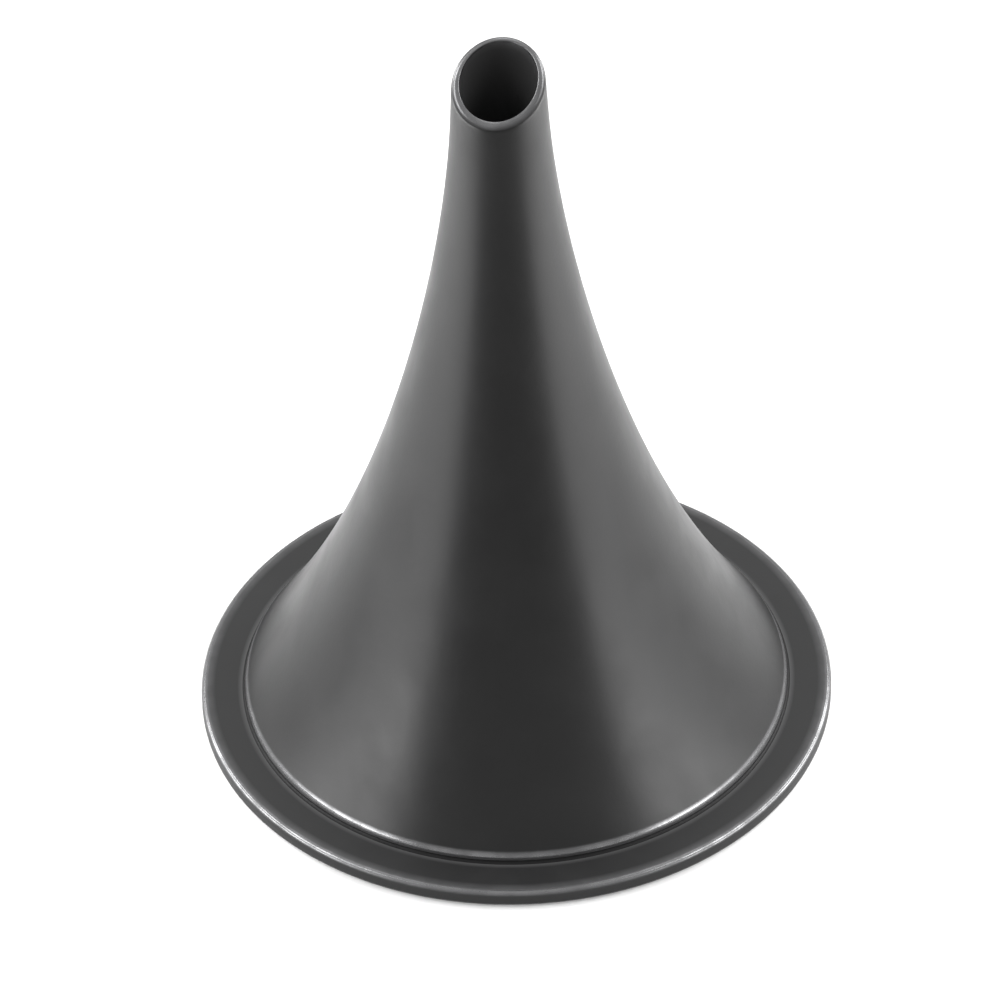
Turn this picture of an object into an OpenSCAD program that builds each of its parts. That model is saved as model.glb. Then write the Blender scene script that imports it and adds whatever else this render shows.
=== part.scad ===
// Ear speculum: a thin flared metal funnel, soldered into a flat rim ring, with an
// obliquely cut tip. It stands on its wide end. The origin is the centre of the
// ring's underside, and +Z runs along the axis towards the tip.

/* [Rim ring] */
// Width of the flat rim that shows outside the funnel's foot
rim_w = 2.3; // [1.2:0.1:7]
// Thickness of the rim ring
ring_t = 0.9; // [0.8:0.05:2]
// Rounding of the ring's two outer edges
ring_edge_r = 0.25; // [0.05:0.05:0.3]
// Depth of the seat turned into the ring's top for the funnel's foot
seat_depth = 0.4; // [0.1:0.05:0.5]
// Gap all round between the funnel's foot and the wall of its seat
seat_gap = 0.04; // [0.02:0.01:0.15]
// Width and height of the chamfer on the underside edge of the ring's bore
bore_chamfer = 0.1; // [0.05:0.05:0.2]

/* [Funnel] */
// Outside diameter of the funnel's foot, where it steps down to the ring
foot_d = 28.4; // [24:0.2:31]
// Height of the foot's upper edge above the ring's top face
foot_step = 0.35; // [0.15:0.05:0.8]
// Rounding of the foot's upper edge
foot_edge_r = 0.3; // [0.05:0.05:0.4]
// Slope of the outside where it runs into the foot, in degrees from level
foot_slope = 54; // [50:0.5:62]
// Length over which the flare keeps to the slope at the foot
foot_reach = 14; // [10:0.5:17]
// Thickness of the funnel's wall
wall = 0.7; // [0.45:0.05:1.2]

/* [Tip] */
// Height of the opening's centre above the ring's top face
tip_height = 39.4; // [34:0.2:46]
// Outside diameter of the tip at the opening's centre
tip_d = 4.7; // [4.4:0.1:6]
// Diameter of the parallel bore through the tip
bore_d = 3.9; // [2.5:0.1:4.2]
// Length of the straight tip and its bore below the opening's centre
tip_l = 2; // [1.75:0.25:5]
// Taper of the straight tip's outside, in degrees from the axis
tip_taper = 2.5; // [1:0.5:6]
// Length over which the flare keeps to the taper of the tip
tip_reach = 8; // [5:0.5:12]
// Slant of the opening, in degrees from level
cut_angle = 28; // [0:0.5:35]
// Direction of the opening's high side, in degrees from +X towards +Y
cut_turn = 76; // [0:1:359]
// Rounding of the opening's outer edge
lip_r = 0.15; // [0.05:0.05:0.2]
// Rounding of the opening's inner edge, on the bore
bore_edge_r = 0.05; // [0.02:0.01:0.08]

/* [Solder] */
// Width and height of the groove that the solder fills
seam_w = 0.25; // [0.1:0.05:0.3]
// How far the solder's face is drawn in between its two edges
seam_sag = 0.04; // [0:0.01:0.06]

/* [Hidden] */
$fn = 120;

// Straight stretches that stand for the flare, and for a rounded edge
FLARE_STEPS = 36;
EDGE_STEPS = 5;
// Places round the opening, and stretches in each of the lip's two rounded edges
LIP_PLACES = 72;
LIP_STEPS = 4;
// How deep the lip is rooted in the wall below it, and how far inside its faces
LIP_ROOT = 0.1;
LIP_INSET = 0.01;
// How far a cutting tool runs past the metal
PAST = 1;

BLACK_OXIDE = [0.16, 0.16, 0.165];
BLACK_FLANGE = [0.12, 0.12, 0.125];
BLACK_SOLDER = [0.3, 0.3, 0.3];

// Heights above the ring's underside
seat_z = ring_t - seat_depth;
step_z = ring_t + foot_step;
opening_z = ring_t + tip_height;
flare_z = opening_z - tip_l;
// Radii
foot_r = foot_d / 2;
ring_r = foot_r + rim_w;
bore_r = bore_d / 2;
tip_r = tip_d / 2;
flare_r = tip_r + tip_l * tan(tip_taper);
mouth_r = foot_r - wall * sin(foot_slope);
// How far the rounding of the foot's edge reaches up the flare
foot_edge_reach = foot_edge_r * tan((90 - foot_slope) / 2);
// Rise of the slanted opening for each millimetre across
cut_slope = tan(cut_angle);
// Top of the tip before it is cut, and the width of the block that cuts it
blank_top = opening_z + tip_r * cut_slope + PAST;
block_w = 6 * tip_r;

function unit(v) = v / norm(v);

// Points of an arc that rounds the corner at b between the sides to a and to c
function rounded(a, b, c, radius) =
    let(to_a = unit(a - b), to_c = unit(c - b))
    let(half = acos(to_a * to_c) / 2)
    let(centre = b + unit(to_a + to_c) * radius / sin(half))
    let(first = b + to_a * radius / tan(half) - centre)
    let(sweep = 180 - 2 * half)
    let(way = sign(to_a[0] * to_c[1] - to_a[1] * to_c[0]))
    [for (i = [0:EDGE_STEPS])
        let(turn = -way * sweep * i / EDGE_STEPS)
        centre + [first[0] * cos(turn) - first[1] * sin(turn),
                  first[0] * sin(turn) + first[1] * cos(turn)]];

// The flare is one cubic curve from the straight tip to the foot, as [radius, height]
flare = [
    [flare_r, flare_z],
    [flare_r + tip_reach * sin(tip_taper), flare_z - tip_reach * cos(tip_taper)],
    [foot_r - foot_reach * cos(foot_slope), step_z + foot_reach * sin(foot_slope)],
    [foot_r, step_z]
];

function flare_point(t) =
    pow(1 - t, 3) * flare[0] + 3 * pow(1 - t, 2) * t * flare[1]
    + 3 * (1 - t) * t * t * flare[2] + pow(t, 3) * flare[3];

function flare_way(t) = unit(
    pow(1 - t, 2) * (flare[1] - flare[0]) + 2 * (1 - t) * t * (flare[2] - flare[1])
    + t * t * (flare[3] - flare[2]));

// The wall under the straight tip is what the bore leaves, and settles to its own
// thickness further down
neck_wall = (flare_r - bore_r) / cos(tip_taper);

function wall_at(t) = wall + (neck_wall - wall) * pow(1 - t, 3);

// The inside of the wall: each point of the flare moved square to it
function inside_point(t) =
    let(way = flare_way(t))
    flare_point(t) + wall_at(t) * [way[1], -way[0]];

// Outside radius of the straight tip and height of the cut, at an angle from the high side
function cut_r(angle, drop) =
    (tip_r + drop * tan(tip_taper)) / (1 + tan(tip_taper) * cut_slope * cos(angle));

function cut_z(radius, angle, drop) = opening_z - drop + cut_slope * radius * cos(angle);

// The funnel's outline before the tip is cut, from its axis at the foot to its axis at the tip
function blank_outline() = concat(
    [[0, seat_z], [foot_r, seat_z]],
    rounded([foot_r, seat_z], flare[3], flare[2], foot_edge_r),
    [for (i = [1:FLARE_STEPS])
        let(p = flare_point(1 - i / FLARE_STEPS))
        if (norm(p - flare[3]) > foot_edge_reach) p],
    [[tip_r - (blank_top - opening_z) * tan(tip_taper), blank_top], [0, blank_top]]);

// The hollow inside it: the mouth, the flare and the parallel bore through the tip
function hollow_outline() = concat(
    [[0, seat_z - PAST], [mouth_r, seat_z - PAST]],
    [for (i = [0:FLARE_STEPS]) inside_point(1 - i / FLARE_STEPS)],
    [[bore_r, blank_top + PAST], [0, blank_top + PAST]]);

// One section across the wall at the opening: a narrow land between two rounded edges
function lip_section(angle) =
    let(outer = cut_r(angle, lip_r) - LIP_INSET, inner = bore_r + LIP_INSET)
    concat(
        [[outer, cut_z(outer, angle, lip_r + LIP_ROOT)]],
        [for (i = [0:LIP_STEPS])
            let(turn = 90 * i / LIP_STEPS, r = outer - lip_r * (1 - cos(turn)))
            [r, cut_z(r, angle, lip_r) + lip_r * sin(turn)]],
        [for (i = [0:LIP_STEPS])
            let(turn = 90 * i / LIP_STEPS, r = inner + bore_edge_r * (1 - sin(turn)))
            [r, cut_z(r, angle, bore_edge_r) + bore_edge_r * cos(turn)]],
        [[inner, cut_z(inner, angle, lip_r + LIP_ROOT)]]);

// The rounded lip, swept round the slanted opening through its sections
module lip() {
    side = 2 * LIP_STEPS + 4;
    points = [for (i = [0:LIP_PLACES - 1])
        let(angle = 360 * i / LIP_PLACES)
        for (p = lip_section(angle)) [p[0] * cos(angle), p[0] * sin(angle), p[1]]];
    faces = [for (i = [0:LIP_PLACES - 1], j = [0:side - 1])
        let(a = i * side, b = ((i + 1) % LIP_PLACES) * side, k = (j + 1) % side)
        for (face = [[a + j, a + k, b + k], [a + j, b + k, b + j]]) face];
    polyhedron(points, faces);
}

// The block that takes off the tip above the slanted cut
module cut_block() {
    translate([0, 0, opening_z - lip_r])
        rotate([0, -cut_angle, 0])
            translate([-block_w / 2, -block_w / 2, 0])
                cube([block_w, block_w, block_w]);
}

// The funnel: spun thin, cut square at the foot and obliquely at the tip
module funnel() {
    color(BLACK_OXIDE)
        rotate([0, 0, cut_turn]) {
            difference() {
                rotate_extrude() polygon(blank_outline());
                rotate_extrude() polygon(hollow_outline());
                cut_block();
            }
            lip();
        }
}

// The ring's outline, from its bore's lower edge round to the groove for the solder
function ring_outline() = concat(
    [[mouth_r + bore_chamfer, 0]],
    rounded([mouth_r, 0], [ring_r, 0], [ring_r, ring_t], ring_edge_r),
    rounded([ring_r, 0], [ring_r, ring_t], [mouth_r, ring_t], ring_edge_r),
    [[foot_r + seat_gap, ring_t], [foot_r + seat_gap, seat_z]],
    [[mouth_r + seam_w, seat_z], [mouth_r, seat_z - seam_w], [mouth_r, bore_chamfer]]);

// The flat rim ring: its bore is flush with the funnel's mouth, and its seat centres the foot
module rim_ring() {
    color(BLACK_FLANGE)
        rotate_extrude() polygon(ring_outline());
}

// The solder: it fills the groove under the foot, and its face sags in a little
module solder_seam() {
    color(BLACK_SOLDER)
        rotate_extrude()
            polygon(concat(
                [[mouth_r + seam_w, seat_z]],
                [for (i = [0:EDGE_STEPS])
                    let(down = i / EDGE_STEPS)
                    [mouth_r + seam_sag * sin(180 * down), seat_z - seam_w * down]]));
}

funnel();
rim_ring();
solder_seam();
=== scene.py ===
"""Ear speculum: the finished look of the flared funnel, its rim ring and the solder between them.

Everything is in metres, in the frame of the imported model: the origin is the centre of the
ring's underside, and +Z runs along the axis towards the tip.
"""

import logging
import math
from dataclasses import dataclass, field
from enum import Enum

import bmesh
import bpy
from mathutils import Matrix, Vector


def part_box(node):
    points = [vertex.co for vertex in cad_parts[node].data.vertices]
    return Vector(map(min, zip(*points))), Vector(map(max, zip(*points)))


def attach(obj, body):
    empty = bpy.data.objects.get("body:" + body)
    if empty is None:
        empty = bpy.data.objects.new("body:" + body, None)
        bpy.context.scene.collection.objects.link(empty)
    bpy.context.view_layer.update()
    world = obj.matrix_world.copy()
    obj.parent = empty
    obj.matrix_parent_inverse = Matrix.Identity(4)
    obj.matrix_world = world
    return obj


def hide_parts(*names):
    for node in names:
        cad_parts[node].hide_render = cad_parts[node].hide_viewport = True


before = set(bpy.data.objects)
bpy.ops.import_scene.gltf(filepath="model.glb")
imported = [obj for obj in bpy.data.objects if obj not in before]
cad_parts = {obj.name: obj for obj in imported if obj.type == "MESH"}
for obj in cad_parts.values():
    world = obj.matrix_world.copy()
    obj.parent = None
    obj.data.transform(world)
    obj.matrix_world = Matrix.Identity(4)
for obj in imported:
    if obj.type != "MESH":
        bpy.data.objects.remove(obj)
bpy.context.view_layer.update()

MM = 0.001
BODY = "root"
WHITE = (1.0, 1.0, 1.0, 1.0)
# Noise textures keep to the middle of 0 to 1, between about these two values
NOISE_LOW, NOISE_HIGH = 0.3, 0.7
log = logging.getLogger("ear_speculum")


class Socket(Enum):
    """The kinds of sockets that the shared shader groups have."""

    VALUE = "NodeSocketFloat"
    VECTOR = "NodeSocketVector"


@dataclass(frozen=True)
class Corner:
    """One corner of a turned piece's outline.

    Args:
        radius: Distance from the axis.
        height: Height above the ring's underside.
        setback: How far the corner's rounding reaches along each side, 0 for a sharp one.
    """

    radius: float
    height: float
    setback: float = 0.0


@dataclass(frozen=True)
class RubbedPlace:
    """A place on a turned piece's outline where handling has rubbed the black.

    Args:
        radius: Distance from the axis.
        height: Height above the ring's underside.
        reach: How far the rubbing reaches all round it.
        amount: How far the black is rubbed there, from 0 to 1.
    """

    radius: float
    height: float
    reach: float
    amount: float = 1.0

    def worn(self, point: Vector) -> float:
        """Gives how far the black is rubbed at a point of the outline."""
        away = math.hypot(point.x - self.radius, point.z - self.height) / self.reach
        return self.amount * max(0.0, 1.0 - away * away)


class ShaderGroup:
    """A shader node group with named sockets, and short calls that fill it."""

    def __init__(self, name: str) -> None:
        """Makes an empty group.

        Args:
            name: The group's name.
        """
        self.tree = bpy.data.node_groups.new(name, "ShaderNodeTree")
        self.inside = self.tree.nodes.new("NodeGroupInput")
        self.outside = self.tree.nodes.new("NodeGroupOutput")

    def socket(self, name: str, kind: Socket, way: str, start: float | None = None) -> None:
        """Adds a named socket.

        Args:
            name: The socket's name.
            kind: What it carries.
            way: INPUT or OUTPUT.
            start: The value it has where nothing is linked.
        """
        made = self.tree.interface.new_socket(name, in_out=way, socket_type=kind.value)
        if start is not None:
            made.default_value = start

    def node(self, kind: str, **settings: object) -> bpy.types.Node:
        """Adds a node and sets its properties.

        Args:
            kind: The node's type.
            settings: The node's own properties.

        Returns:
            The new node.
        """
        return new_node(self.tree, kind, **settings)

    def link(self, start: bpy.types.NodeSocket, end: bpy.types.NodeSocket) -> None:
        """Links one socket to another."""
        self.tree.links.new(start, end)


def new_node(tree: bpy.types.NodeTree, kind: str, **settings: object) -> bpy.types.Node:
    """Adds a node to a tree and sets its properties.

    Args:
        tree: The node tree.
        kind: The node's type.
        settings: The node's own properties.

    Returns:
        The new node.
    """
    node = tree.nodes.new(kind)
    for name, value in settings.items():
        setattr(node, name, value)
    return node


def blasted_grain() -> bpy.types.NodeTree:
    """Makes the shared group for the fine grain that bead blasting leaves under the black.

    Returns:
        A group with Vector, Grain Scale and Mottle Scale in, and Height and Mottle out.
    """
    group = ShaderGroup("blasted_grain")
    group.socket("Vector", Socket.VECTOR, "INPUT")
    group.socket("Grain Scale", Socket.VALUE, "INPUT", 6000.0)
    group.socket("Mottle Scale", Socket.VALUE, "INPUT", 350.0)
    group.socket("Height", Socket.VALUE, "OUTPUT")
    group.socket("Mottle", Socket.VALUE, "OUTPUT")
    grain = group.node("ShaderNodeTexNoise", noise_dimensions="3D")
    grain.inputs["Detail"].default_value = 3.0
    grain.inputs["Roughness"].default_value = 0.6
    mottle = group.node("ShaderNodeTexNoise", noise_dimensions="3D")
    mottle.inputs["Detail"].default_value = 4.0
    mottle.inputs["Roughness"].default_value = 0.55
    mottle.inputs["Distortion"].default_value = 0.4
    for texture, scale in ((grain, "Grain Scale"), (mottle, "Mottle Scale")):
        group.link(group.inside.outputs["Vector"], texture.inputs["Vector"])
        group.link(group.inside.outputs[scale], texture.inputs["Scale"])
    group.link(grain.outputs["Fac"], group.outside.inputs["Height"])
    group.link(mottle.outputs["Fac"], group.outside.inputs["Mottle"])
    return group.tree


def rubbed_edge() -> bpy.types.NodeTree:
    """Makes the shared group for the black that is rubbed thin along an edge.

    Returns:
        A group with Vector, Worn, Amount and Break Scale in, and Mask out.
    """
    group = ShaderGroup("rubbed_edge")
    group.socket("Vector", Socket.VECTOR, "INPUT")
    group.socket("Worn", Socket.VALUE, "INPUT", 0.0)
    group.socket("Amount", Socket.VALUE, "INPUT", 0.5)
    group.socket("Break Scale", Socket.VALUE, "INPUT", 900.0)
    group.socket("Mask", Socket.VALUE, "OUTPUT")
    breaks = group.node("ShaderNodeTexNoise", noise_dimensions="3D")
    breaks.inputs["Detail"].default_value = 4.0
    spread = group.node("ShaderNodeMapRange", interpolation_type="SMOOTHSTEP")
    spread.inputs["From Min"].default_value = NOISE_LOW
    spread.inputs["From Max"].default_value = NOISE_HIGH
    spread.inputs["To Min"].default_value = 0.65
    share = group.node("ShaderNodeMath", operation="MULTIPLY")
    mask = group.node("ShaderNodeMath", operation="MULTIPLY", use_clamp=True)
    group.link(group.inside.outputs["Vector"], breaks.inputs["Vector"])
    group.link(group.inside.outputs["Break Scale"], breaks.inputs["Scale"])
    group.link(breaks.outputs["Fac"], spread.inputs["Value"])
    group.link(spread.outputs["Result"], share.inputs[0])
    group.link(group.inside.outputs["Worn"], share.inputs[1])
    group.link(share.outputs[0], mask.inputs[0])
    group.link(group.inside.outputs["Amount"], mask.inputs[1])
    group.link(mask.outputs[0], group.outside.inputs["Mask"])
    return group.tree


@dataclass(frozen=True)
class BlackFinish:
    """A satin black on metal: a blasted grain, a faint cloudiness, edges rubbed thin and a paler
    inside that is painted light.

    Args:
        name: The material's name.
        black: Colour of the black where it is thin.
        deep_black: Colour of the black where it is thick.
        rubbed: Colour of the darkened metal that shines where an edge is rubbed.
        inside: Colour of the paler black on the surfaces that look at the axis, painted light that
            stands in for light reaching the bore.
        roughness: Roughness of the black.
        cloud: How far the roughness drifts to either side.
        edge_roughness: Roughness of a rubbed edge.
        specular: Strength of the gloss, where 0.5 is plain lacquer.
        grain_scale: Grains in a metre.
        grain_depth: Height of the grain.
        mottle_scale: Clouds in a metre.
        wear: How far the edges are rubbed, from 0 to 1.
    """

    name: str
    black: tuple[float, float, float] = (0.004, 0.004, 0.0041)
    deep_black: tuple[float, float, float] = (0.002, 0.002, 0.0021)
    rubbed: tuple[float, float, float] = (0.2, 0.2, 0.204)
    # Painted light: the inside is made paler than the black, to stand in for light reaching the
    # bore.
    inside: tuple[float, float, float] = (0.08, 0.08, 0.081)
    roughness: float = 0.36
    cloud: float = 0.045
    edge_roughness: float = 0.2
    specular: float = 0.3
    grain_scale: float = 5000.0
    grain_depth: float = 0.003 * MM
    mottle_scale: float = 300.0
    wear: float = 0.95

    def material(self, grain: bpy.types.NodeTree, edge: bpy.types.NodeTree) -> bpy.types.Material:
        """Builds the material from the shared groups.

        Args:
            grain: The shared group for the blasted grain.
            edge: The shared group for the rubbed edges.

        Returns:
            The material.
        """
        made = bpy.data.materials.new(self.name)
        made.use_nodes = True
        tree = made.node_tree
        shader = tree.nodes["Principled BSDF"]
        shader.inputs["Specular IOR Level"].default_value = self.specular
        place = new_node(tree, "ShaderNodeTexCoord")
        texture = new_node(tree, "ShaderNodeGroup", node_tree=grain)
        texture.inputs["Grain Scale"].default_value = self.grain_scale
        texture.inputs["Mottle Scale"].default_value = self.mottle_scale
        tree.links.new(place.outputs["Object"], texture.inputs["Vector"])
        worn = new_node(tree, "ShaderNodeAttribute", attribute_name=TurnedPiece.WORN)
        wear = new_node(tree, "ShaderNodeGroup", node_tree=edge)
        wear.inputs["Amount"].default_value = self.wear
        tree.links.new(place.outputs["Object"], wear.inputs["Vector"])
        tree.links.new(worn.outputs["Fac"], wear.inputs["Worn"])
        mask = wear.outputs["Mask"]
        self.link_colour(tree, texture.outputs["Mottle"], mask)
        self.link_roughness(tree, texture.outputs["Mottle"], mask)
        tree.links.new(mask, shader.inputs["Metallic"])
        bump = new_node(tree, "ShaderNodeBump")
        bump.inputs["Strength"].default_value = 1.0
        bump.inputs["Distance"].default_value = self.grain_depth
        tree.links.new(texture.outputs["Height"], bump.inputs["Height"])
        tree.links.new(bump.outputs["Normal"], shader.inputs["Normal"])
        return made

    def link_colour(self, tree: bpy.types.NodeTree, mottle: bpy.types.NodeSocket,
                    mask: bpy.types.NodeSocket) -> None:
        """Paints the cloudy black, the paler inside that is painted light, and the rubbed metal
        over both.

        Args:
            tree: The material's node tree.
            mottle: The cloudiness, from 0 to 1.
            mask: How far the black is rubbed, from 0 to 1.
        """
        # The paler inside layer is painted light on the surfaces that look at the axis.
        inner = new_node(tree, "ShaderNodeAttribute", attribute_name=TurnedPiece.PAINTED_LIGHT_INSIDE)
        layers = ((self.black, mottle), (self.inside, inner.outputs["Fac"]), (self.rubbed, mask))
        below = None
        for colour, factor in layers:
            layer = new_node(tree, "ShaderNodeMix", data_type="RGBA")
            layer.inputs["B"].default_value = (*colour, 1.0)
            tree.links.new(factor, layer.inputs["Factor"])
            if below is None:
                layer.inputs["A"].default_value = (*self.deep_black, 1.0)
            else:
                tree.links.new(below, layer.inputs["A"])
            below = layer.outputs["Result"]
        tree.links.new(below, tree.nodes["Principled BSDF"].inputs["Base Color"])

    def link_roughness(self, tree: bpy.types.NodeTree, mottle: bpy.types.NodeSocket,
                       mask: bpy.types.NodeSocket) -> None:
        """Lets the roughness drift with the clouds, and fall where the black is rubbed.

        Args:
            tree: The material's node tree.
            mottle: The cloudiness, from 0 to 1.
            mask: How far the black is rubbed, from 0 to 1.
        """
        drift = new_node(tree, "ShaderNodeMapRange")
        drift.inputs["From Min"].default_value = NOISE_LOW
        drift.inputs["From Max"].default_value = NOISE_HIGH
        drift.inputs["To Min"].default_value = self.roughness - self.cloud
        drift.inputs["To Max"].default_value = self.roughness + self.cloud
        tree.links.new(mottle, drift.inputs["Value"])
        smooth = new_node(tree, "ShaderNodeMix", data_type="FLOAT")
        smooth.inputs["B"].default_value = self.edge_roughness
        tree.links.new(mask, smooth.inputs["Factor"])
        tree.links.new(drift.outputs["Result"], smooth.inputs["A"])
        tree.links.new(smooth.outputs["Result"], tree.nodes["Principled BSDF"].inputs["Roughness"])


FUNNEL_BLACK = BlackFinish("satin_black_funnel")
RING_BLACK = BlackFinish(
    "satin_black_ring", black=(0.015, 0.015, 0.0153), deep_black=(0.009, 0.009, 0.0092),
    roughness=0.42)
SEAM_BLACK = BlackFinish("black_solder", roughness=0.3)
FILLET_BLACK = BlackFinish(
    "black_solder_fillet", black=(0.006, 0.006, 0.0062), deep_black=(0.004, 0.004, 0.0041),
    roughness=0.5, specular=0.15)


@dataclass
class TurnedPiece:
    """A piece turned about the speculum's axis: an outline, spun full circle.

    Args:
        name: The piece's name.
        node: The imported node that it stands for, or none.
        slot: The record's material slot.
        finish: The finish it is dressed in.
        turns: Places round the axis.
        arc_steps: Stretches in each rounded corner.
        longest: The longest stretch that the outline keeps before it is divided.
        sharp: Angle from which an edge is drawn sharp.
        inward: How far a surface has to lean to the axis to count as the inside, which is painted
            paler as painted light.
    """

    WORN = "worn"
    # Attribute that marks the inside, where a paler black is painted light.
    PAINTED_LIGHT_INSIDE = "inner"

    name: str
    node: str
    slot: str
    finish: BlackFinish
    turns: int = 240
    arc_steps: int = 6
    longest: float = 0.4 * MM
    sharp: float = math.radians(35)
    inward: float = 0.1

    def corners(self) -> list[Corner]:
        """Gives the closed outline's corners in order."""
        raise NotImplementedError

    def rubbed(self) -> list[RubbedPlace]:
        """Gives the places where the black is rubbed, none unless the piece names them."""
        return []

    def outline(self) -> bmesh.types.BMesh:
        """Draws the outline as a loop of edges, rounds its corners and divides its long sides.

        Returns:
            A mesh of edges in the plane of X and Z.
        """
        mesh = bmesh.new()
        worn = mesh.verts.layers.float.new(self.WORN)
        mesh.verts.layers.float.new(self.PAINTED_LIGHT_INSIDE)
        corners = self.corners()
        points = [mesh.verts.new((c.radius, 0.0, c.height)) for c in corners]
        for here, after in zip(points, points[1:] + points[:1]):
            mesh.edges.new((here, after))
        for corner, point in zip(corners, points):
            if corner.setback:
                bmesh.ops.bevel(
                    mesh, geom=[point], offset=corner.setback, offset_type="OFFSET",
                    segments=self.arc_steps, profile=0.5, affect="VERTICES", material=-1)
        for edge in [e for e in mesh.edges if e.calc_length() > self.longest]:
            cuts = math.ceil(edge.calc_length() / self.longest) - 1
            bmesh.ops.subdivide_edges(mesh, edges=[edge], cuts=cuts)
        places = self.rubbed()
        for vertex in mesh.verts:
            vertex[worn] = max((place.worn(vertex.co) for place in places), default=0.0)
        return mesh

    def shape(self, mesh: bmesh.types.BMesh) -> None:
        """Changes the spun mesh, for a piece that isn't round all over.

        Args:
            mesh: The spun mesh.
        """

    def build(self) -> bpy.types.Object:
        """Spins the outline, shapes it and makes it an object on the speculum's body.

        Returns:
            The finished object, without a material.
        """
        mesh = self.outline()
        bmesh.ops.spin(
            mesh, geom=mesh.verts[:] + mesh.edges[:], cent=(0, 0, 0), axis=(0, 0, 1),
            angle=math.tau, steps=self.turns, use_merge=True, use_duplicate=False)
        self.shape(mesh)
        bmesh.ops.recalc_face_normals(mesh, faces=mesh.faces)
        self.mark_painted_light_inside(mesh)
        data = bpy.data.meshes.new(self.name)
        mesh.to_mesh(data)
        mesh.free()
        data.shade_smooth()
        data.set_sharp_from_angle(angle=self.sharp)
        piece = bpy.data.objects.new(self.name, data)
        bpy.context.scene.collection.objects.link(piece)
        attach(piece, BODY)
        if self.node:
            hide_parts(self.node)
        return piece

    def mark_painted_light_inside(self, mesh: bmesh.types.BMesh) -> None:
        """Marks the surfaces that look at the axis, where a paler black is painted light.

        Args:
            mesh: The finished mesh.
        """
        mesh.normal_update()
        inner = mesh.verts.layers.float[self.PAINTED_LIGHT_INSIDE]
        for vertex in mesh.verts:
            outwards = vertex.normal.xy.dot(vertex.co.xy)
            vertex[inner] = float(outwards < -self.inward * vertex.co.xy.length)

    def dress(self, piece: bpy.types.Object, grain: bpy.types.NodeTree,
              edge: bpy.types.NodeTree) -> None:
        """Gives the piece its finish.

        Args:
            piece: The object.
            grain: The shared group for the blasted grain.
            edge: The shared group for the rubbed edges.
        """
        piece.data.materials.append(self.finish.material(grain, edge))


@dataclass
class Sizes:
    """The sizes that the pieces share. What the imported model's boxes tell is read from them.

    Args:
        ring_t: Thickness of the rim ring.
        ring_r: Outside radius of the rim ring.
        foot_r: Outside radius of the funnel's foot.
        seat_z: Height of the seat that the foot stands in.
        seam_w: Width and height of the solder's groove.
        seat_gap: Gap round the foot in its seat.
        foot_step: Height of the foot's upper edge above the ring.
        foot_slope: Slope of the flare where it runs into the foot, from level.
        wall: Thickness of the funnel's wall.
        tip_height: Height of the opening's centre above the ring.
        tip_r: Outside radius of the tip at the opening's centre.
        bore_r: Radius of the bore through the tip.
        tip_l: Length of the straight tip.
        tip_taper: Taper of the straight tip.
        cut_angle: Slant of the opening, from level.
        cut_turn: Direction of the opening's high side, from +X towards +Y.
        lip_r: Rounding of the opening's outer edge.
        lip_level: How far the lip is level across instead of slanted, from 0 to 1.
        lip_inset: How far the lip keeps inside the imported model's outside.
        bore_edge_r: Rounding of the opening's inner edge.
    """

    ring_t: float = field(default_factory=lambda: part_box("rim_ring")[1].z)
    ring_r: float = field(default_factory=lambda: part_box("rim_ring")[1].x)
    foot_r: float = field(default_factory=lambda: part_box("funnel")[1].x)
    seat_z: float = field(default_factory=lambda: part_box("funnel")[0].z)
    seam_w: float = field(
        default_factory=lambda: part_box("funnel")[0].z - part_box("solder_seam")[0].z)
    seat_gap: float = 0.04 * MM
    foot_step: float = 0.35 * MM
    foot_slope: float = math.radians(54)
    wall: float = 0.7 * MM
    tip_height: float = 39.4 * MM
    tip_r: float = 2.35 * MM
    bore_r: float = 1.95 * MM
    tip_l: float = 2.0 * MM
    tip_taper: float = math.radians(2.5)
    cut_angle: float = math.radians(28)
    cut_turn: float = math.radians(76)
    lip_r: float = 0.25 * MM
    lip_level: float = 0.6
    lip_inset: float = 0.02 * MM
    bore_edge_r: float = 0.05 * MM

    @property
    def mouth_r(self) -> float:
        """Radius of the mouth, which the ring's bore shares."""
        return self.foot_r - self.wall * math.sin(self.foot_slope)

    @property
    def step_z(self) -> float:
        """Height of the foot's upper edge."""
        return self.ring_t + self.foot_step

    @property
    def opening_z(self) -> float:
        """Height of the slanted opening's centre."""
        return self.ring_t + self.tip_height


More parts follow.
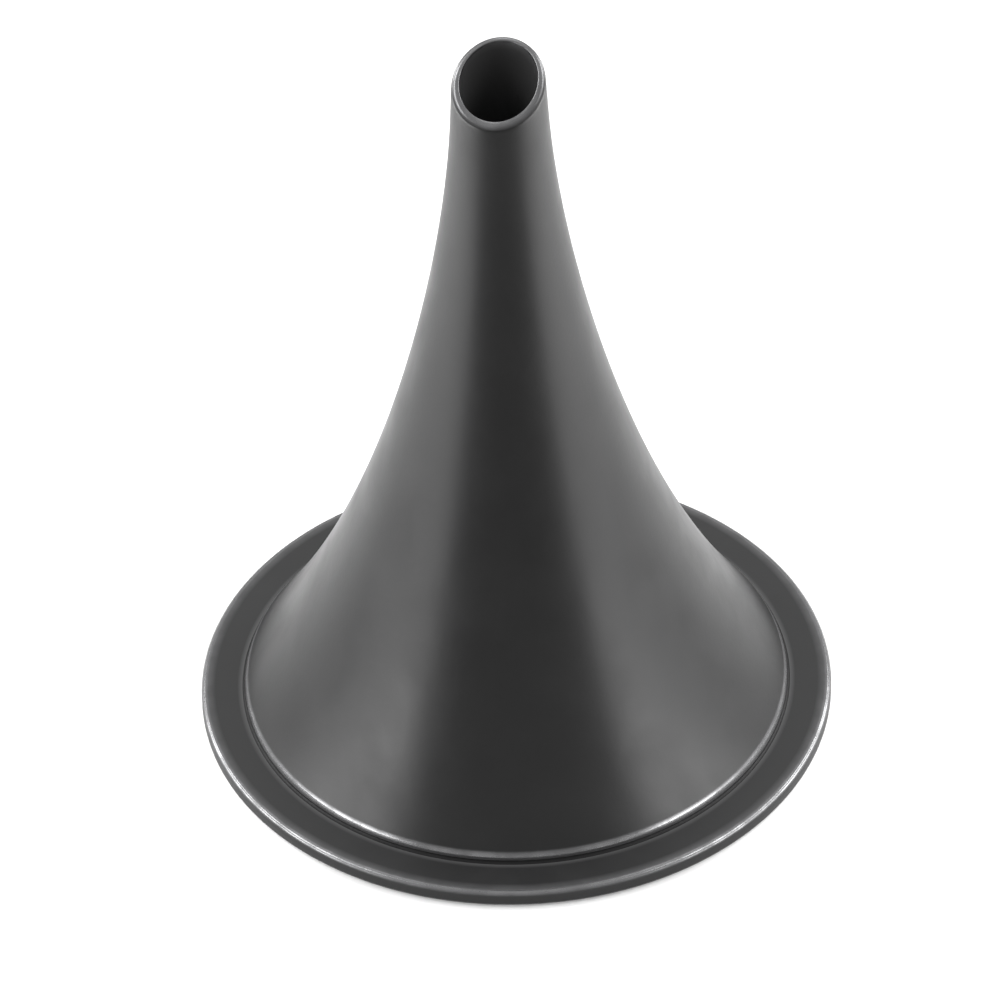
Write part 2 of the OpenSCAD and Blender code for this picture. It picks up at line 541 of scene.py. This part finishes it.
@dataclass
class Funnel(TurnedPiece):
    """The thin flared funnel, with its slanted and rounded opening.

    Args:
        sizes: The sizes that the pieces share.
        foot_reach: Length over which the flare keeps to the slope at the foot.
        tip_reach: Length over which the flare keeps to the tip's taper.
        foot_setback: Reach of the rounding of the foot's upper edge.
        foot_rub: How far from that edge the black is rubbed.
        flare_steps: Stretches in the flare's curve.
        edge_parts: Fine parts that the flare's curve is counted in beside the foot's edge.
        edge_range: The first and last of those parts that the outline has a point at.
        rubbed_part: The part at which the foot's edge is rubbed most.
        lip_rub: Place and reach of the lip's rubbing, in shares of the wall's width there.
    """

    sizes: Sizes = field(default_factory=Sizes)
    foot_reach: float = 14.0 * MM
    tip_reach: float = 8.0 * MM
    foot_setback: float = 0.12 * MM
    foot_rub: float = 0.27 * MM
    flare_steps: int = 64
    edge_parts: int = 800
    edge_range: tuple[int, int] = (3, 8)
    rubbed_part: int = 1
    lip_rub: tuple[float, float] = (0.3, 0.8)

    def tip_cone(self, height: float) -> float:
        """Gives the straight tip's outside radius at a height."""
        return self.sizes.tip_r + (self.sizes.opening_z - height) * math.tan(self.sizes.tip_taper)

    def flare(self) -> list[Vector]:
        """Gives the points that steer the flare's cubic curve.

        Returns:
            Four points as radius and height, from the tip to the foot.
        """
        s = self.sizes
        top = Vector((self.tip_cone(s.opening_z - s.tip_l), s.opening_z - s.tip_l))
        foot = Vector((s.foot_r, s.step_z))
        down = Vector((math.sin(s.tip_taper), -math.cos(s.tip_taper)))
        up = Vector((-math.cos(s.foot_slope), math.sin(s.foot_slope)))
        return [top, top + self.tip_reach * down, foot + self.foot_reach * up, foot]

    def flare_point(self, t: float) -> Vector:
        """Gives a point of the flare.

        Args:
            t: Share of the way along the curve, from 0 at the tip to 1 at the foot.

        Returns:
            The point's radius and height.
        """
        a, b, c, d = self.flare()
        u = 1 - t
        return u ** 3 * a + 3 * u * u * t * b + 3 * u * t * t * c + t ** 3 * d

    def inside_point(self, t: float) -> Vector:
        """Gives the point of the wall's inside that lies square to a point of the flare.

        Args:
            t: Share of the way along the curve, from 0 at the tip to 1 at the foot.

        Returns:
            The point's radius and height.
        """
        s = self.sizes
        a, b, c, d = self.flare()
        u = 1 - t
        way = (u * u * (b - a) + 2 * u * t * (c - b) + t * t * (d - c)).normalized()
        neck = (a.x - s.bore_r) / math.cos(s.tip_taper)
        thickness = s.wall + (neck - s.wall) * u ** 3
        return self.flare_point(t) + thickness * Vector((way.y, -way.x))

    def corners(self) -> list[Corner]:
        """Gives the wall's outline.

        Returns:
            Its corners, up the outside, over the lip and down the inside.
        """
        s = self.sizes
        foot = self.flare()[3]
        first, last = self.edge_range
        edge = [self.flare_point(1 - i / self.edge_parts) for i in range(first, last + 1)]
        outside = [self.flare_point(1 - i / self.flare_steps) for i in range(1, self.flare_steps)]
        outside = [p for p in outside if (p - foot).length > 2 * self.foot_rub]
        inside = [self.inside_point(i / self.flare_steps) for i in range(self.flare_steps + 1)]
        top = self.flare_point(0)
        return [
            Corner(s.foot_r, s.seat_z),
            Corner(s.foot_r, s.step_z, self.foot_setback),
            *(Corner(p.x, p.y) for p in (*edge, *outside, top)),
            Corner(s.tip_r - s.lip_inset, s.opening_z, s.lip_r),
            Corner(s.bore_r, s.opening_z, s.bore_edge_r),
            *(Corner(p.x, p.y) for p in inside),
            Corner(s.mouth_r, s.seat_z),
        ]

    def rubbed(self) -> list[RubbedPlace]:
        """Gives the places where the black is rubbed.

        Returns:
            The foot's upper edge and the top of the lip.
        """
        s = self.sizes
        edge = self.flare_point(1 - self.rubbed_part / self.edge_parts)
        wall = s.tip_r - s.bore_r
        share, reach = self.lip_rub
        return [
            RubbedPlace(edge.x, edge.y, self.foot_rub),
            RubbedPlace(s.bore_r + share * wall, s.opening_z, reach * wall),
        ]

    def shape(self, mesh: bmesh.types.BMesh) -> None:
        """Slants the opening: the tip's rings rise to one side, and stay on its cone and its bore.

        The slant grows from nothing at the straight tip's foot to its full share at the lip.

        Args:
            mesh: The spun mesh.
        """
        s = self.sizes
        taper, slope = math.tan(s.tip_taper), math.tan(s.cut_angle)
        start, wall_top = s.opening_z - s.tip_l, s.opening_z - s.lip_r
        for vertex in mesh.verts:
            height = vertex.co.z
            if height <= start:
                continue
            radius = vertex.co.xy.length
            side = math.cos(math.atan2(vertex.co.y, vertex.co.x) - s.cut_turn)
            share = min(1.0, (height - start) / (wall_top - start))
            across = (radius - s.bore_r) / (self.tip_cone(height) - s.bore_r)
            cone = self.tip_cone(height) / (1 + taper * slope * share * side)
            moved = s.bore_r + across * (cone - s.bore_r)
            vertex.co.xy *= moved / radius
            level = moved + s.lip_level * share * (s.bore_r - moved)
            vertex.co.z = height + share * slope * level * side


@dataclass
class RimRing(TurnedPiece):
    """The flat rim ring that the speculum stands on.

    Args:
        sizes: The sizes that the pieces share.
        edge_setback: Reach of the rounding of its two outer edges.
        edge_rub: How far in from the upper rounding the black is rubbed.
        chamfer: Chamfer on the underside edge of its bore.
        upper_reach: How far round the upper edge's rubbing goes, in shares of its rounding.
        lower_wear: How far the lower edge is rubbed, from 0 to 1.
    """

    sizes: Sizes = field(default_factory=Sizes)
    edge_setback: float = 0.25 * MM
    edge_rub: float = 0.1 * MM
    chamfer: float = 0.1 * MM
    upper_reach: float = 0.6
    lower_wear: float = 0.4

    def corners(self) -> list[Corner]:
        """Gives the ring's outline.

        Returns:
            Its corners, from its bore's lower edge round to the solder's groove.
        """
        s = self.sizes
        seat_r = s.foot_r + s.seat_gap
        return [
            Corner(s.mouth_r + self.chamfer, 0.0),
            Corner(s.ring_r, 0.0, self.edge_setback),
            Corner(s.ring_r, s.ring_t, self.edge_setback),
            Corner(s.ring_r - self.edge_setback - self.edge_rub, s.ring_t),
            Corner(seat_r, s.ring_t),
            Corner(seat_r, s.seat_z),
            Corner(s.mouth_r + s.seam_w, s.seat_z),
            Corner(s.mouth_r, s.seat_z - s.seam_w),
            Corner(s.mouth_r, self.chamfer),
        ]

    def rubbed(self) -> list[RubbedPlace]:
        """Gives the places where the black is rubbed.

        Returns:
            The two outer edges, the upper one more.
        """
        s = self.sizes
        inner = s.ring_r - self.edge_setback
        reach = self.edge_rub + self.upper_reach * self.edge_setback
        return [
            RubbedPlace(inner + self.edge_rub, s.ring_t, reach),
            RubbedPlace(s.ring_r, 0.0, self.edge_setback, self.lower_wear),
        ]


@dataclass
class SolderFillet(TurnedPiece):
    """The thin fillet of solder drawn up round the outside of the funnel's foot.

    Args:
        sizes: The sizes that the pieces share.
        leg: How far it reaches up the foot and out over the ring.
        depth: How far it reaches down into the gap round the foot.
        face_steps: Stretches in its hollow face.
    """

    sizes: Sizes = field(default_factory=Sizes)
    leg: float = 0.15 * MM
    depth: float = 0.05 * MM
    face_steps: int = 8

    def corners(self) -> list[Corner]:
        """Gives the fillet's outline.

        Returns:
            Its corners, down in the gap, out over the ring and up its hollow face.
        """
        s = self.sizes
        turns = [math.pi / 2 * i / self.face_steps for i in range(self.face_steps + 1)]
        face = [(self.leg * (1 - math.cos(turn)), self.leg * (1 - math.sin(turn)))
                for turn in turns[::-1]]
        return [
            Corner(s.foot_r, s.ring_t - self.depth),
            Corner(s.foot_r + s.seat_gap, s.ring_t - self.depth),
            *(Corner(s.foot_r + out, s.ring_t + up) for out, up in face),
        ]


@dataclass
class SolderSeam(TurnedPiece):
    """The ring of solder in the groove under the funnel's foot.

    Args:
        sizes: The sizes that the pieces share.
        sag: How far its face is drawn in between its edges.
        face_steps: Stretches in that face.
    """

    sizes: Sizes = field(default_factory=Sizes)
    sag: float = 0.04 * MM
    face_steps: int = 6

    def corners(self) -> list[Corner]:
        """Gives the seam's outline.

        Returns:
            The corner under the foot, and the face that sags in.
        """
        s = self.sizes
        face = [(self.sag * math.sin(math.pi * i / self.face_steps),
                 s.seam_w * i / self.face_steps) for i in range(self.face_steps + 1)]
        return [
            Corner(s.mouth_r + s.seam_w, s.seat_z),
            *(Corner(s.mouth_r + inward, s.seat_z - down) for inward, down in face),
        ]


@dataclass(frozen=True)
class SoftLamp:
    """A large flat lamp with soft light.

    Args:
        name: The lamp's name.
        centre: Where its middle is.
        facing: The way it shines.
        width: Its width.
        height: Its height, or its depth where it lies level.
        radiance: Brightness of its face, where a white sheet in full light has 1.
    """

    name: str
    centre: tuple[float, float, float]
    facing: tuple[float, float, float]
    width: float
    height: float
    radiance: float

    def build(self) -> bpy.types.Object:
        """Makes the lamp.

        Returns:
            The lamp.
        """
        light = bpy.data.lights.new(self.name, "AREA")
        light.shape = "RECTANGLE"
        light.size, light.size_y = self.width, self.height
        light.energy = self.radiance * self.width * self.height * math.pi
        lamp = bpy.data.objects.new(self.name, light)
        lamp.location = self.centre
        lamp.rotation_mode = "QUATERNION"
        lamp.rotation_quaternion = Vector(self.facing).to_track_quat("-Z", "Y")
        lamp.visible_camera = False
        bpy.context.scene.collection.objects.link(lamp)
        return lamp


def side_lamps(name: str, centre: tuple[float, float, float], facing: tuple[float, float, float],
               width: float, height: float, radiance: float) -> tuple[SoftLamp, SoftLamp]:
    """Gives a lamp on the left and its mirror image on the right.

    Args:
        name: The pair's name.
        centre: Where the left one's middle is.
        facing: The way the left one shines.
        width: Their width.
        height: Their height.
        radiance: Brightness of their faces.

    Returns:
        The left and the right lamp.
    """
    mirrored = [(-way[0], *way[1:]) for way in (centre, facing)]
    return (SoftLamp(f"left_{name}", centre, facing, width, height, radiance),
            SoftLamp(f"right_{name}", *mirrored, width, height, radiance))


@dataclass
class Studio:
    """A plain pale floor and room, with soft lamps close to each side, above and behind.

    Args:
        floor_size: Width of the floor.
        floor_white: How pale the floor is.
        floor_rough: Roughness of the floor.
        floor_drop: How far the floor lies below the ring's underside.
        glow: Light that the floor near the speculum adds for the eye and in reflections.
        glow_full: Distance from the speculum's axis up to which that glow is full.
        glow_end: Distance at which it ends.
        room: Brightness of the room all round, as a light.
        lamps: The lamps: low strips, panels behind them, softboxes above, and one behind.
    """

    floor_size: float = 4.0
    floor_white: float = 0.85
    floor_rough: float = 0.9
    floor_drop: float = 0.02 * MM
    glow: float = 0.12
    glow_full: float = 40.0 * MM
    glow_end: float = 170.0 * MM
    room: float = 0.25
    lamps: tuple[SoftLamp, ...] = (
        *side_lamps("strip", (-55.0 * MM, -10.0 * MM, 18.5 * MM), (1.0, 0.0, 0.0),
                    88.0 * MM, 17.0 * MM, 10.5),
        *side_lamps("panel", (-55.0 * MM, 45.0 * MM, 55.0 * MM), (1.0, 0.0, 0.0),
                    40.0 * MM, 30.0 * MM, 9.5),
        *side_lamps("softbox", (-143.0 * MM, 20.0 * MM, 205.0 * MM), (0.57, -0.08, -0.82),
                    150.0 * MM, 70.0 * MM, 7.0),
        SoftLamp("back_softbox", (0.0, 190.0 * MM, 260.0 * MM), (0.0, 0.0, -1.0),
                 130.0 * MM, 140.0 * MM, 1.5),
    )

    def build(self) -> None:
        """Makes the floor, the room's light and the lamps."""
        self.build_floor()
        self.build_room()
        for lamp in self.lamps:
            lamp.build()

    def build_floor(self) -> None:
        """Makes the floor, which is white to the eye near the speculum and keeps its shadow."""
        mesh = bmesh.new()
        lowered = Matrix.Translation((0.0, 0.0, -self.floor_drop))
        bmesh.ops.create_grid(
            mesh, x_segments=1, y_segments=1, size=self.floor_size / 2, matrix=lowered)
        data = bpy.data.meshes.new("floor")
        mesh.to_mesh(data)
        mesh.free()
        floor = bpy.data.objects.new("floor", data)
        bpy.context.scene.collection.objects.link(floor)
        paper = bpy.data.materials.new("pale_paper")
        paper.use_nodes = True
        tree = paper.node_tree
        shader = tree.nodes["Principled BSDF"]
        shader.inputs["Base Color"].default_value = (self.floor_white,) * 3 + (1.0,)
        shader.inputs["Roughness"].default_value = self.floor_rough
        shader.inputs["Specular IOR Level"].default_value = 0.0
        shader.inputs["Emission Color"].default_value = WHITE
        place = new_node(tree, "ShaderNodeTexCoord")
        away = new_node(tree, "ShaderNodeVectorMath", operation="LENGTH")
        fade = new_node(tree, "ShaderNodeMapRange", interpolation_type="SMOOTHSTEP")
        fade.inputs["From Min"].default_value = self.glow_full
        fade.inputs["From Max"].default_value = self.glow_end
        fade.inputs["To Min"].default_value = self.glow
        fade.inputs["To Max"].default_value = 0.0
        seen = new_node(tree, "ShaderNodeMath", operation="MULTIPLY")
        tree.links.new(place.outputs["Object"], away.inputs[0])
        tree.links.new(away.outputs["Value"], fade.inputs["Value"])
        tree.links.new(fade.outputs["Result"], seen.inputs[0])
        tree.links.new(seen_rays(tree), seen.inputs[1])
        tree.links.new(seen.outputs[0], shader.inputs["Emission Strength"])
        self.clear_from_below(tree, shader)
        data.materials.append(paper)

    def clear_from_below(self, tree: bpy.types.NodeTree, shader: bpy.types.Node) -> None:
        """Lets the eye look through the floor from below, so that the underside can be seen.

        Args:
            tree: The floor's node tree.
            shader: Its shader.
        """
        side = new_node(tree, "ShaderNodeNewGeometry")
        clear = new_node(tree, "ShaderNodeBsdfTransparent")
        either = new_node(tree, "ShaderNodeMixShader")
        tree.links.new(side.outputs["Backfacing"], either.inputs["Fac"])
        tree.links.new(shader.outputs["BSDF"], either.inputs[1])
        tree.links.new(clear.outputs["BSDF"], either.inputs[2])
        tree.links.new(either.outputs["Shader"], tree.nodes["Material Output"].inputs["Surface"])

    def build_room(self) -> None:
        """Makes the room: white to the eye and in reflections, and dimmer as a light."""
        world = bpy.data.worlds.new("room")
        world.use_nodes = True
        tree = world.node_tree
        back = tree.nodes["Background"]
        back.inputs["Color"].default_value = WHITE
        level = new_node(tree, "ShaderNodeMapRange")
        level.inputs["To Min"].default_value = self.room
        level.inputs["To Max"].default_value = 1.0
        tree.links.new(seen_rays(tree), level.inputs["Value"])
        tree.links.new(level.outputs["Result"], back.inputs["Strength"])
        bpy.context.scene.world = world


def seen_rays(tree: bpy.types.NodeTree) -> bpy.types.NodeSocket:
    """Tells the rays of the eye and of reflections from those that light things.

    Args:
        tree: The node tree.

    Returns:
        The socket that has 1 for the rays of the eye and of reflections, and 0 for others.
    """
    path = new_node(tree, "ShaderNodeLightPath")
    total = path.outputs["Is Camera Ray"]
    for other in ("Is Glossy Ray", "Is Transmission Ray"):
        either = new_node(tree, "ShaderNodeMath", operation="MAXIMUM")
        tree.links.new(total, either.inputs[0])
        tree.links.new(path.outputs[other], either.inputs[1])
        total = either.outputs[0]
    return total


@dataclass(frozen=True)
class PhotoCamera:
    """The camera at the photograph's viewing angle.

    Args:
        eye: Where it stands.
        tilt: How far it looks down, in degrees below level.
        roll: How far it leans, in degrees.
        focal: Focal length, in widths of the picture.
        sensor: Width of its sensor, in its own millimetres.
        clip: The nearest and farthest distance that it sees.
    """

    eye: tuple[float, float, float] = (-0.56 * MM, -306.9 * MM, 276.65 * MM)
    tilt: float = 40.65
    roll: float = 1.764
    focal: float = 7.87
    sensor: float = 36.0
    clip: tuple[float, float] = (0.01, 10.0)

    def build(self) -> bpy.types.Object:
        """Makes the camera and looks through it.

        Returns:
            The camera.
        """
        data = bpy.data.cameras.new("photo_camera")
        data.sensor_width = self.sensor
        data.lens = self.focal * self.sensor
        data.clip_start, data.clip_end = self.clip
        camera = bpy.data.objects.new("photo_camera", data)
        down = Matrix.Rotation(math.radians(90 - self.tilt), 4, "X")
        lean = Matrix.Rotation(math.radians(-self.roll), 4, "Z")
        camera.matrix_world = Matrix.Translation(self.eye) @ down @ lean
        bpy.context.scene.collection.objects.link(camera)
        bpy.context.scene.camera = camera
        return camera


def main() -> None:
    """Builds the camera, the pieces and the studio, in that order."""
    logging.basicConfig(level=logging.INFO, format="%(name)s: %(message)s")
    PhotoCamera().build()
    sizes = Sizes()
    grain, edge = blasted_grain(), rubbed_edge()
    pieces = (
        Funnel("funnel_shell", "funnel", "black_funnel", FUNNEL_BLACK, sizes=sizes),
        RimRing("rim_ring_turned", "rim_ring", "black_ring", RING_BLACK, sizes=sizes),
        SolderSeam("solder_bead", "solder_seam", "black_solder", SEAM_BLACK, sizes=sizes),
        SolderFillet("solder_fillet", "", "black_solder", FILLET_BLACK, sizes=sizes),
    )
    for piece in pieces:
        made = piece.build()
        piece.dress(made, grain, edge)
        log.info("%s: %d faces, in place of %s",
                 made.name, len(made.data.polygons), piece.node or "nothing")
    Studio().build()
    bpy.context.scene.view_settings.view_transform = "Standard"


if __name__ == "__main__":
    main()
